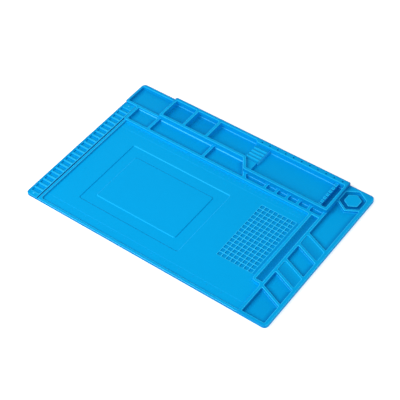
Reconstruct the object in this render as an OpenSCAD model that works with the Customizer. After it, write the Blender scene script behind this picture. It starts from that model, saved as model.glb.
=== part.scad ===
// Parts sorting tray: a flat silicone work mat with rows of small bins, a tall tool tray,
// a screw strip, a pen channel and two magnetic bins.
// The origin is under the middle of the mat, X runs to the right and Y to the back.

/* [Mat] */
// Width of the mat, left to right
mat_w = 450; // [440:1:480]
// Depth of the mat, front to back
mat_d = 300; // [290:1:330]
// Radius of the mat's outer corners
corner_r = 7; // [4:0.5:10]
// Thickness of the sheet under the work area and the bins
sheet_t = 2; // [1.8:0.1:2.4]
// Thickness of the walls between bins
wall = 5; // [4.5:0.1:5.5]
// Radius of the upright corners inside the bins
bin_r = 3; // [1.5:0.5:4]

/* [Heights] */
// Height of the screw strip
strip_h = 4; // [3.6:0.1:4.5]
// Height of the rim round the work area
rim_h = 4.5; // [4:0.1:5.5]
// Height of the low bins, the pen channel and the right column
bin_h = 6.5; // [6.2:0.1:8]
// Height of the tall tray
tall_h = 12.5; // [11:0.5:16]

/* [Screw strip] */
// Width of the screw strip
strip_w = 21.7; // [20:0.1:24]
// Plain land in front of the screw cells
strip_front_land = 9.75; // [8:0.25:14]
// Plain land behind the screw cells
strip_back_land = 12; // [8:0.25:16]
// Spacing of the screw cells
cell_pitch = 10; // [9:0.1:10]
// Length of a screw cell along the strip
cell_l = 6.5; // [4:0.1:7.5]
// Depth of a screw cell
cell_depth = 2.2; // [1:0.1:2.6]
// Width of the groove between the strip and the left rim
groove_w = 2; // [1:0.1:3]
// Depth of the groove below the top of the sheet
groove_depth = 1; // [0.4:0.1:1.2]
// Diameter of the end bumps on the strip
bump_d = 3.6; // [2:0.1:5]
// Height of the end bumps above the strip
bump_h = 0.8; // [0.4:0.1:1.2]
// Distance of the end bumps from the strip's ends
bump_inset = 6; // [4:0.5:7]

/* [Work area] */
// Width of the shallow frame recess, left to right
frame_w = 190; // [160:1:200]
// Depth of the shallow frame recess, front to back
frame_d = 137; // [120:1:142]
// Breadth of the recessed band
frame_band = 19; // [10:0.5:25]
// How far the recessed band is sunk
frame_depth = 1; // [0.3:0.1:1.2]
// Gap from the left rim to the frame recess
frame_left_gap = 45; // [20:0.5:60]
// Gap from the front edge to the frame recess
frame_front_gap = 41.5; // [20:0.5:50]
// Gap from the pen channel's rim to the component pockets
grid_side_gap = 6.5; // [2:0.5:12]
// Gap from the front edge to the component pockets
grid_front_gap = 71; // [65:0.5:85]
// Number of component pockets across
grid_cols = 8; // [4:1:8]
// Number of component pockets front to back
grid_rows = 15; // [6:1:15]
// Spacing of the component pockets
grid_pitch = 8; // [6:0.5:8]
// Width of the rib between component pockets
grid_rib = 1.5; // [1:0.1:2]
// Depth of the component pockets
grid_depth = 1.2; // [0.6:0.1:1.3]

/* [Back rows] */
// Width of the corner bin at the back left, with its outer wall
corner_bin_w = 69.5; // [60:0.5:72]
// Depth of the back row, from the back edge to its front face
back_row_d = 50.5; // [46:0.5:54]
// Depth of the tool tray, from the back edge to its front face
tray_d = 70.5; // [68:0.5:74]
// Depth of the long bins in front of the back row
long_bin_d = 30; // [26:0.5:34]
// Width of the first long bin
first_bin_w = 40; // [30:0.5:50]
// Width of the second long bin
second_bin_w = 104.5; // [90:0.5:110]
// Width of each tall bin
tall_bin_w = 40; // [35:0.5:41]
// Width of each small bin
small_bin_w = 15; // [12:0.5:15.5]
// Width of the small bin at the right end
end_bin_w = 19.5; // [16:0.5:22]
// Where the diagonal wall starts, from the left edge
diagonal_start = 237.5; // [230:0.5:240]
// Run of the diagonal wall to the right for each unit to the front
diagonal_run = 0.7; // [0.6:0.05:0.8]

/* [Tool tray] */
// Width of the bit rail along the back
rail_w = 10; // [9:0.5:12]
// Distance of the bit holes from the back edge
bit_inset = 5.5; // [4.5:0.1:6]
// Spacing of the bit holes
bit_pitch = 15; // [10:0.5:15]
// Diameter of a bit hole
bit_d = 3; // [2:0.1:4]
// Depth of a bit hole
bit_depth = 8; // [4:0.5:8.5]
// Width of the ridged tool rest
rest_w = 26; // [22:0.5:28]
// Height of the ridged tool rest
rest_h = 9; // [7:0.5:9.5]
// Spacing of the grooves in the tool rest
rest_pitch = 7; // [6.2:0.1:7]
// Radius of the grooves in the tool rest
rest_groove_r = 2.5; // [1.5:0.1:2.6]
// Height of the blade comb
comb_h = 9; // [7:0.5:9.5]
// Width of the blade comb
comb_w = 5.3; // [4:0.1:7]
// Spacing of the slits in the blade comb
slit_pitch = 8; // [6:0.5:8]
// Width of a slit
slit_w = 1.6; // [1:0.1:2.5]
// Width of the deep slot to the right of the comb
deep_slot_w = 10; // [8:0.5:12]

/* [Right column] */
// Width of the right column, with its inner wall
column_w = 49.5; // [48.5:0.5:54]
// Width of the rim along the right edge
edge_w = 6; // [5:0.5:6.5]
// Fall of the slanted bins to the front for each unit to the right
slant = 0.4; // [0.2:0.05:0.45]
// Distance from the front edge to the back of the first magnetic bin
slanted_start = 182; // [178:0.5:185]
// Front-to-back size of a magnetic bin
magnet_bin_d = 20; // [18:0.5:22]
// Front-to-back size of a deep slanted bin
deep_bin_d = 30.5; // [26:0.5:32]
// Depth of a magnetic bin
magnet_bin_depth = 1; // [0.5:0.1:1.2]
// Diameter of a magnet
magnet_d = 10; // [6:0.5:11]
// Thickness of a magnet
magnet_t = 2.5; // [1.5:0.1:2.5]
// Width of the pen channel
channel_w = 11.5; // [10:0.5:13]
// Length of the pen channel
channel_l = 150; // [120:1:155]
// Gap from the back edge to the nut well
well_back_gap = 4.2; // [3:0.1:6]
// Size across the flats of the nut well
well_af = 36; // [30:0.5:37]
// Size across the flats of the island in the nut well
island_af = 24; // [14:0.5:28]

/* [Hidden] */
$fn = 48;

silicone = [0, 0.64, 0.91];
magnet_grey = [0.7, 0.71, 0.73];
cut = 1;
left = -mat_w / 2;
right = mat_w / 2;
front = -mat_d / 2;
back = mat_d / 2;

// Left to right
groove_x = left + strip_w;
rim_x = groove_x + groove_w;
work_x = rim_x + wall;
tall_x = left + corner_bin_w;
column_x = right - column_w;
column_in = column_x + wall;
column_out = right - edge_w;
channel_x = column_x - channel_w;

// Front to back
rim_d = 5;
back_w = 6;
corner_bin_side = 3.5;
corner_bin_front = 4.5;
row_front = back - back_row_d;
tray_front = back - tray_d;
tray_in = tray_front + wall;
rail_front = back - rail_w;
bins_front = row_front - long_bin_d;
work_back = bins_front - wall;
channel_front = work_back - channel_l;
channel_skin = 0.2;

// The diagonal wall, on its left and right faces
diagonal_x = left + diagonal_start;
diagonal_thick = wall * sqrt(1 + diagonal_run * diagonal_run);
function diagonal_left(y) = diagonal_x + (row_front - y) * diagonal_run;
function diagonal_right(y) = diagonal_left(y) + diagonal_thick;

// Tool tray
rail_step = back_w - rail_w;
rail_lead = 4.5;
rail_x = diagonal_x - rail_lead;
third_bin_x = tall_x + wall + 2 * (tall_bin_w + wall);
rest_lead = 1;
rest_x = diagonal_x - rest_lead;
rest_end = rest_x + rest_w;
rest_ridged_front = row_front + wall;
rest_plain_drop = 1.5;
rest_plain_inset = 2.5;
comb_x = column_x - deep_slot_w - comb_w;
rest_groove_n = floor((rail_front - rest_ridged_front) / rest_pitch);
rest_groove_first = 0.72 * rest_pitch;
slit_depth = 4;
slit_first = 6.9;
slit_land = 5;
slit_n = floor((rail_front - tray_in - slit_first - slit_land) / slit_pitch) + 1;
bit_first = 11;
bit_land = 4;
block_gap = 0.05;
bit_n = floor((column_x - rail_x - bit_first - bit_land) / bit_pitch) + 1;
bit_y = back - bit_inset;
last_wall_x = column_x - end_bin_w - wall;
small_pitch = small_bin_w + wall;
small_wall_n = floor((last_wall_x - diagonal_right(work_back) - small_bin_w) / small_pitch) + 1;

// Right column
column_mid = (column_in + column_out) / 2;
slanted_pitch = magnet_bin_d + deep_bin_d + 2 * wall;
magnet_block_d = magnet_bin_d + 2 * wall;
slanted_first = front + slanted_start;
magnet_n = 3;
magnet_gap = 0.1;
magnet_step = (column_out - column_in) / magnet_n;
well_y = back - well_back_gap - well_af / 2 / cos(30);
well_wall = 4;
well_point = well_y - (well_af / 2 + well_wall) / cos(30);
well_side = well_point + (column_out - column_in) / 2 * tan(30);
island_drop = 0.7;

// Work area
grid_w = grid_cols * grid_pitch;
grid_d = grid_rows * grid_pitch;
grid_mid_x = channel_x - wall - grid_side_gap - grid_w / 2;
grid_mid_y = front + grid_front_gap + grid_d / 2;
frame_mid_x = work_x + frame_left_gap + frame_w / 2;
frame_mid_y = front + frame_front_gap + frame_d / 2;
frame_r = 3;
cell_side = 4;
cell_end = 2;
cells_room = row_front - front - strip_front_land - strip_back_land;
cell_n = floor((cells_room - cell_l) / cell_pitch) + 1;

// A rectangle between two corners
module box2d(x0, y0, x1, y1) {
    translate([x0, y0]) square([x1 - x0, y1 - y0]);
}

// The same with round corners, kept exact
module round2d(x0, y0, x1, y1, r) {
    box2d(x0 + r, y0, x1 - r, y1);
    box2d(x0, y0 + r, x1, y1 - r);
    for (x = [x0 + r, x1 - r], y = [y0 + r, y1 - r])
        translate([x, y]) circle(r);
}

module mat_outline() {
    round2d(left, front, right, back, corner_r);
}

// A block that stands on the sheet
module raised(top, bottom = sheet_t) {
    translate([0, 0, bottom]) linear_extrude(top - bottom) children();
}

// A slanted band across the right column; y is taken at the column's left side
module slanted_band(y_back, y_front) {
    fall = slant * (column_out - column_in);
    polygon([[column_in, y_front], [column_out, y_front - fall],
        [column_out, y_back - fall], [column_in, y_back]]);
}

function slanted_back(i) = slanted_first - i * slanted_pitch;
function magnet_x(k) = column_in + (k + 0.5) * magnet_step;
function magnet_y(i, k) = slanted_back(i) - magnet_block_d / 2 - slant * (magnet_x(k) - column_in);

module base_sheet() {
    color(silicone) difference() {
        linear_extrude(sheet_t) difference() {
            mat_outline();
            box2d(left - cut, front - cut, groove_x, row_front);
            translate([grid_mid_x, grid_mid_y]) square([grid_w, grid_d], center = true);
        }
        raised(sheet_t + cut, sheet_t - groove_depth)
            box2d(groove_x - cut, front - cut, rim_x, row_front);
        raised(sheet_t + cut, sheet_t - frame_depth) translate([frame_mid_x, frame_mid_y]) difference() {
            round2d(-frame_w / 2, -frame_d / 2, frame_w / 2, frame_d / 2, frame_r);
            round2d(-frame_w / 2 + frame_band, -frame_d / 2 + frame_band,
                frame_w / 2 - frame_band, frame_d / 2 - frame_band, frame_r);
        }
    }
}

module component_grid() {
    pocket = grid_pitch - grid_rib;
    color(silicone) translate([grid_mid_x - grid_w / 2, grid_mid_y - grid_d / 2, 0]) difference() {
        cube([grid_w, grid_d, sheet_t]);
        for (i = [0 : grid_cols - 1], j = [0 : grid_rows - 1])
            translate([i * grid_pitch + grid_rib / 2, j * grid_pitch + grid_rib / 2, sheet_t - grid_depth])
                cube([pocket, pocket, grid_depth + cut]);
    }
}

module screw_strip() {
    first = front + strip_front_land;
    bump_x = left + cell_side + (strip_w - cell_side - cell_end) / 2;
    color(silicone) {
        difference() {
            linear_extrude(strip_h) intersection() {
                mat_outline();
                box2d(left - cut, front - cut, groove_x, row_front);
            }
            for (i = [0 : cell_n - 1])
                translate([left + cell_side, first + i * cell_pitch, strip_h - cell_depth])
                    cube([strip_w - cell_side - cell_end, cell_l, cell_depth + cut]);
        }
        for (y = [front + bump_inset, row_front - bump_inset])
            translate([bump_x, y, strip_h - cut]) cylinder(d = bump_d, h = bump_h + cut);
    }
}

module work_rim() {
    color(silicone) raised(rim_h) {
        box2d(rim_x, front, work_x, work_back);
        box2d(rim_x, front, column_x, front + rim_d);
    }
}

module corner_bin_walls() {
    color(silicone) raised(bin_h) difference() {
        intersection() {
            mat_outline();
            box2d(left - cut, row_front, tall_x, back + cut);
        }
        round2d(left + corner_bin_side, row_front + corner_bin_front,
            tall_x + 2 * bin_r, back - back_w, bin_r);
    }
}

module tall_tray_walls() {
    color(silicone) raised(tall_h) difference() {
        polygon([[tall_x, row_front], [diagonal_left(row_front), row_front],
            [diagonal_left(tray_front), tray_front], [column_in, tray_front],
            [column_in, back], [tall_x, back]]);
        for (i = [0 : 1])
            translate([tall_x + wall + i * (tall_bin_w + wall), 0])
                round2d(0, row_front + wall, tall_bin_w, back - back_w, bin_r);
        round2d(third_bin_x, row_front + wall, rest_x, back - back_w, bin_r);
        polygon([[rest_x - 2 * bin_r, back - back_w], [rest_x - 2 * bin_r, row_front + wall],
            [diagonal_right(row_front + wall), row_front + wall],
            [diagonal_right(tray_in), tray_in], [column_x, tray_in],
            [column_x, back + cut], [rail_x, back + cut], [rail_x, back - back_w]]);
    }
}

// The rail is a row of blocks, one round each bit hole
module bit_rail() {
    color(silicone) for (i = [0 : bit_n - 1]) {
        x = rail_x + bit_first + i * bit_pitch;
        side = (bit_pitch - block_gap) / 2;
        block_left = i == 0 ? rail_x : x - side;
        block_right = i == bit_n - 1 ? column_x : x + side;
        difference() {
            raised(tall_h) intersection() {
                polygon([[rail_x, back], [rail_x, back - back_w], [rail_x - rail_step, rail_front],
                    [column_x, rail_front], [column_x, back]]);
                box2d(block_left, rail_front - cut, block_right, back + cut);
            }
            translate([x, bit_y, tall_h - bit_depth]) cylinder(d = bit_d, h = bit_depth + cut);
        }
    }
}

module tool_rest() {
    color(silicone) difference() {
        union() {
            raised(rest_h) box2d(rest_x, rest_ridged_front, rest_end, rail_front);
            raised(rest_h - rest_plain_drop)
                polygon([[diagonal_right(rest_ridged_front), rest_ridged_front],
                    [diagonal_right(tray_in), tray_in], [rest_end - rest_plain_inset, tray_in],
                    [rest_end - rest_plain_inset, rest_ridged_front]]);
        }
        for (i = [0 : rest_groove_n - 1])
            translate([rest_x - cut, rail_front - rest_groove_first - i * rest_pitch, rest_h])
                rotate([0, 90, 0]) cylinder(r = rest_groove_r, h = rest_w + 2 * cut);
    }
}

module blade_comb() {
    color(silicone) difference() {
        raised(comb_h) box2d(comb_x, tray_in, comb_x + comb_w, rail_front);
        for (i = [0 : slit_n - 1])
            translate([comb_x - cut, tray_in + slit_first + i * slit_pitch - slit_w / 2, comb_h - slit_depth])
                cube([comb_w + 2 * cut, slit_w, slit_depth + cut]);
    }
}

module long_bin_walls() {
    second_wall_x = work_x + first_bin_w;
    third_wall_x = second_wall_x + wall + second_bin_w;
    color(silicone) raised(bin_h) {
        polygon([[rim_x, work_back], [diagonal_right(work_back), work_back],
            [diagonal_right(bins_front), bins_front], [rim_x, bins_front]]);
        polygon([[diagonal_left(work_back), work_back], [diagonal_right(work_back), work_back],
            [diagonal_right(tray_front), tray_front], [diagonal_left(tray_front), tray_front]]);
        for (x = [rim_x, second_wall_x, third_wall_x])
            box2d(x, work_back, x + wall, row_front);
    }
}

module small_bin_walls() {
    color(silicone) raised(bin_h) {
        polygon([[diagonal_right(work_back), work_back], [column_x, work_back],
            [column_x, bins_front], [diagonal_right(bins_front), bins_front]]);
        for (i = [0 : small_wall_n - 1])
            translate([last_wall_x - i * small_pitch, 0])
                box2d(0, work_back, wall, tray_front);
    }
}

module pen_channel() {
    depth = bin_h - sheet_t - channel_skin;
    radius = (channel_w * channel_w / 4 + depth * depth) / (2 * depth);
    color(silicone) difference() {
        raised(bin_h) difference() {
            round2d(channel_x - wall, channel_front - wall, column_x + 2 * corner_r,
                work_back + 2 * corner_r, corner_r);
            box2d(column_x, channel_front - wall - cut, column_x + 3 * corner_r, work_back + 3 * corner_r);
            box2d(channel_x - wall - cut, work_back, column_x + cut, work_back + 3 * corner_r);
        }
        translate([channel_x + channel_w / 2, channel_front, bin_h - depth + radius])
            rotate([-90, 0, 0]) cylinder(r = radius, h = channel_l + cut);
    }
}

module column_walls() {
    color(silicone) raised(bin_h) intersection() {
        mat_outline();
        union() {
            box2d(column_x, front - cut, column_in, tray_front);
            box2d(column_x, front - cut, right + cut, front + rim_d);
            box2d(column_out, front - cut, right + cut, well_side);
        }
    }
}

// A shallow slanted bin over three magnets, which lie in pockets open to the sheet
module magnetic_bin(i) {
    top = slanted_back(i);
    color(silicone) difference() {
        raised(bin_h) slanted_band(top, top - magnet_block_d);
        raised(bin_h + cut, bin_h - magnet_bin_depth)
            slanted_band(top - wall, top - magnet_block_d + wall);
        for (k = [0 : magnet_n - 1])
            translate([magnet_x(k), magnet_y(i, k), sheet_t - cut])
                cylinder(d = magnet_d + 2 * magnet_gap, h = magnet_t + cut);
    }
}

module magnet(i, k) {
    color(magnet_grey) translate([magnet_x(k), magnet_y(i, k), sheet_t])
        cylinder(d = magnet_d, h = magnet_t);
}

module corner_divider() {
    top = slanted_back(2);
    color(silicone) raised(bin_h) slanted_band(top, top - wall);
}

module nut_well() {
    color(silicone) difference() {
        raised(bin_h) intersection() {
            mat_outline();
            polygon([[column_in, back + cut], [right + cut, back + cut], [right + cut, well_side],
                [column_out, well_side], [column_mid, well_point], [column_in, well_side]]);
        }
        translate([column_mid, well_y, sheet_t - cut]) rotate([0, 0, 30])
            cylinder(d = well_af / cos(30), h = bin_h, $fn = 6);
    }
}

module nut_well_island() {
    color(silicone) translate([column_mid, well_y, sheet_t]) rotate([0, 0, 30])
        cylinder(d = island_af / cos(30), h = bin_h - sheet_t - island_drop, $fn = 6);
}

base_sheet();
component_grid();
screw_strip();
work_rim();
corner_bin_walls();
tall_tray_walls();
bit_rail();
tool_rest();
blade_comb();
long_bin_walls();
small_bin_walls();
pen_channel();
column_walls();
magnetic_bin(0);  // magnetic_bin_1
magnetic_bin(1);  // magnetic_bin_2
corner_divider();
nut_well();
nut_well_island();
magnet(0, 0);  // magnet_1
magnet(0, 1);  // magnet_2
magnet(0, 2);  // magnet_3
magnet(1, 0);  // magnet_4
magnet(1, 1);  // magnet_5
magnet(1, 2);  // magnet_6
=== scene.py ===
from collections import namedtuple
from math import atan2, cos, pi, radians, sin, sqrt, tan

import bmesh
import bpy
from mathutils import Matrix, Vector
from mathutils.geometry import delaunay_2d_cdt


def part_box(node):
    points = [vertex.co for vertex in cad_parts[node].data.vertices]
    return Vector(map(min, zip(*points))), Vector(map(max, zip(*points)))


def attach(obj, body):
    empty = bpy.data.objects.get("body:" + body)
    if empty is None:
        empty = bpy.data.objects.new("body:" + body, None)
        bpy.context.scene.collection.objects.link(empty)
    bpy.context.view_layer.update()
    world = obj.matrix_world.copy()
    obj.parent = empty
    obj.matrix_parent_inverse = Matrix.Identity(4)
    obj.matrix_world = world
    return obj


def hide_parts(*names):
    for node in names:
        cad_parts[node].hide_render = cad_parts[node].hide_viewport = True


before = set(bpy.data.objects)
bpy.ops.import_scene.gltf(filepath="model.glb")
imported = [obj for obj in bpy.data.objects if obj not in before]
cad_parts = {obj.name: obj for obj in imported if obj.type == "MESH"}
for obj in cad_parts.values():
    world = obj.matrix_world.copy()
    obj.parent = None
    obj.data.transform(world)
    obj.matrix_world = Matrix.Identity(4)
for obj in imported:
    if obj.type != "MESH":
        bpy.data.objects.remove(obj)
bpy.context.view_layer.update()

# A blue silicone work mat with its bins moulded in.
# Shapes are worked out in millimetres, in the CAD frame, and made in metres.
MM = 0.001
Box = namedtuple("Box", "left front bottom right back top")


def node_box(node):
    """The six sides of a CAD node, in millimetres."""
    low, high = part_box(node)
    return Box(*(value / MM for value in (*low, *high)))


sheet = node_box("base_sheet")
grid = node_box("component_grid")
strip = node_box("screw_strip")
rim = node_box("work_rim")
tall = node_box("tall_tray_walls")
rail = node_box("bit_rail")
rest = node_box("tool_rest")
comb = node_box("blade_comb")
long_bins = node_box("long_bin_walls")
channel = node_box("pen_channel")
column = node_box("column_walls")
magnetic_bins = [node_box("magnetic_bin_1"), node_box("magnetic_bin_2")]
divider = node_box("corner_divider")
island = node_box("nut_well_island")

# Sizes of the moulding
WALL = 5.0
MAT_R = 7.0
BIN_R = 2.0
LIP_R = 0.8
TALL_LIP_R = 0.9
EDGE_BAND = 0.35
COVE_R = 1.6
WORK_COVE_R = 1.2
FOOT_R = 0.5
TUCK = 0.4
SKIM = 0.02
MERGE = 0.001
SMOOTH_ANGLE = radians(40)
FLOOR = sheet.top

# Painted shade: how much deeper the blue is painted at the bottom of a recess, where shade falls
SHALLOW_SHADE = 0.2
DEEP_SHADE = 0.4
NARROW_SHADE = 0.85

# Painted highlight: how much paler the rounded edges and the glints at the foot of walls are painted, where
# light would catch them
SOFT_HIGHLIGHT = 0.7
CLEAR_HIGHLIGHT = 1.0
GLINT_HIGHLIGHT = 1.1

# Painted shade: how much of a bin's painted shade the land beside its edge has
POCKET_LAND_SHADE = 0.17

# Left to right
work_x = rim.left + WALL
column_in = magnetic_bins[0].left
column_out = magnetic_bins[0].right
column_mid = (column_in + column_out) / 2
FIRST_BIN_W = 40.0
SECOND_BIN_W = 104.5
second_bin_x = work_x + FIRST_BIN_W + WALL
third_bin_x = second_bin_x + SECOND_BIN_W + WALL

# Front to back
BACK_W = 6.0
work_front = sheet.front + WALL
bins_front = long_bins.front + WALL
row_front = long_bins.back
tray_in = tall.front + WALL

# The diagonal wall between the long bins and the tool tray
DIAGONAL_RUN = 0.7
diagonal_across = WALL * sqrt(1 + DIAGONAL_RUN ** 2)


def diagonal_right(y):
    """Where the diagonal wall's right face is."""
    return long_bins.right - (y - long_bins.front) * DIAGONAL_RUN


def diagonal_left(y):
    """Where the diagonal wall's left face is."""
    return diagonal_right(y) - diagonal_across


# Outlines and edge profiles
ARC_STEP = radians(18)


def ring(corners):
    """A closed outline, counter-clockwise, from corners (x, y, radius).

    It is a list of points with their outward directions, so that the outline can be moved in or out
    without a change in its points."""
    loop = []
    for i, (x, y, radius) in enumerate(corners):
        here = Vector((x, y))
        arriving = (here - Vector(corners[i - 1][:2])).normalized()
        leaving = (Vector(corners[(i + 1) % len(corners)][:2]) - here).normalized()
        first = Vector((arriving.y, -arriving.x))
        last = Vector((leaving.y, -leaving.x))
        turn = -first.angle_signed(last, 0.0)
        if radius == 0:
            loop.append((here, (first + last) / (1 + first.dot(last))))
            continue
        side = 1 if turn > 0 else -1
        centre = here - arriving * radius * tan(abs(turn) / 2) - first * radius * side
        steps = max(2, round(abs(turn) / ARC_STEP))
        for k in range(steps + 1):
            outward = first.copy()
            outward.rotate(Matrix.Rotation(turn * k / steps, 2))
            loop.append((centre + outward * radius * side, outward))
    return loop


def box_corners(left, front, right, back, radius):
    """The corners of a rectangle."""
    return [(left, front, radius), (right, front, radius), (right, back, radius), (left, back, radius)]


def box_ring(left, front, right, back, radius):
    """The outline of a rectangle."""
    return ring(box_corners(left, front, right, back, radius))


def hexagon_corners(x, y, across, radius):
    """A hexagon with two flats facing left and right."""
    reach = across / 2 / cos(pi / 6)
    turns = [pi / 6 + k * pi / 3 for k in range(6)]
    return [(x + reach * cos(turn), y + reach * sin(turn), radius) for turn in turns]


def rounded(corners, radius):
    """The corners, all with this radius."""
    return [(corner[0], corner[1], radius) for corner in corners]


def circle(x, y, radius, sides=20):
    """The outline of a circle."""
    turns = [2 * pi * k / sides for k in range(sides)]
    outward = [Vector((cos(turn), sin(turn))) for turn in turns]
    return [(Vector((x, y)) + way * radius, way) for way in outward]


# The finish reads these marks from the points of a piece. A level has its share of the painted highlight
# and of the painted shade that stands in for shade in recesses; with None that second share grows with the
# depth.
MARKS = ("pale", "gloss", "hollow")
Level = namedtuple("Level", "offset height pale gloss hollow", defaults=(0.0, 0.0, None))
# A bin's wall and floor are its shares of painted shade, and its edge is its share of painted highlight round
# its rim.
Bin = namedtuple("Bin", "corners wall floor cove gloss fade edge", defaults=(COVE_R, 0.0, 0.0, SOFT_HIGHLIGHT))
Pocket = namedtuple("Pocket", "outline hollow levels lip pale", defaults=(None, None, SOFT_HIGHLIGHT))


def quarter_turn(steps):
    """The angles from none to a right angle, in even steps."""
    return [pi / 2 * k / steps for k in range(steps + 1)]


def lip(top, radius, side, steps=4, band=EDGE_BAND, edge=None, gloss=0.0):
    """A rounded upper edge from the flat face to the wall, with a painted highlight from the edge of the flat
    face on.

    Side is -1 round a block and 1 round a pocket; edge is the share of the side's painted shade on the flat
    face."""
    levels = [Level(side * (radius + band), top, hollow=edge)] if band else []
    # Round a block the rounding gets the side's full painted shade.
    shaded_tone = 1.0 if side < 0 else None
    for turn in quarter_turn(steps):
        across, down = radius * (1 - sin(turn)), radius * (1 - cos(turn))
        levels.append(Level(side * across, top - down, cos(turn), gloss * sin(2 * turn), shaded_tone))
    return levels


def cove(floor, radius, side, steps=4, gloss=0.0):
    """A concave rounding from the wall down to the floor; side is 1 in a pocket, -1 round a block. Its gloss
    comes with a painted glint, a painted highlight along its middle.
    """
    levels = []
    for turn in quarter_turn(steps):
        across, up = radius * (1 - cos(turn)), radius * (1 - sin(turn))
        gloss_and_glint = gloss * sin(2 * turn)
        levels.append(Level(-side * across, floor + up, gloss_and_glint * GLINT_HIGHLIGHT, gloss_and_glint))
    return levels


BEVEL_EDGE = 0.1


def bevel(top, depth, run, side):
    """A sloping step down; side is 1 into a pocket, -1 down from a block."""
    # Painted highlight and painted shade both have their full share along the slope and none at its ends;
    # rules give each side its share of them.
    places = ((0, 0.0), (BEVEL_EDGE, 1.0), (1 - BEVEL_EDGE, 1.0), (1, 0.0))
    return [Level(side * run * (0.5 - part), top - depth * part, share, 0.0, share) for part, share in places]


def facing(left=0.0, right=0.0, front=0.0, back=0.0, plain=0.0):
    """A rule that gives each side of an outline its own share, on top of a plain one; it shares out painted
    shade and painted highlight by the way a side faces.
    """
    def rule(point, outward):
        across = right if outward.x > 0 else left
        along = back if outward.y > 0 else front
        return plain + across * outward.x ** 2 + along * outward.y ** 2
    return rule


def new_object(name, data):
    """An object in the scene."""
    made = bpy.data.objects.new(name, data)
    bpy.context.scene.collection.objects.link(made)
    return made


def plain_mesh(holder):
    """The plain mesh of an object with a modifier or a text, which is then removed."""
    ready = holder.evaluated_get(bpy.context.evaluated_depsgraph_get())
    mesh = bpy.data.meshes.new_from_object(ready)
    bpy.data.objects.remove(holder)
    return mesh


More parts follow.
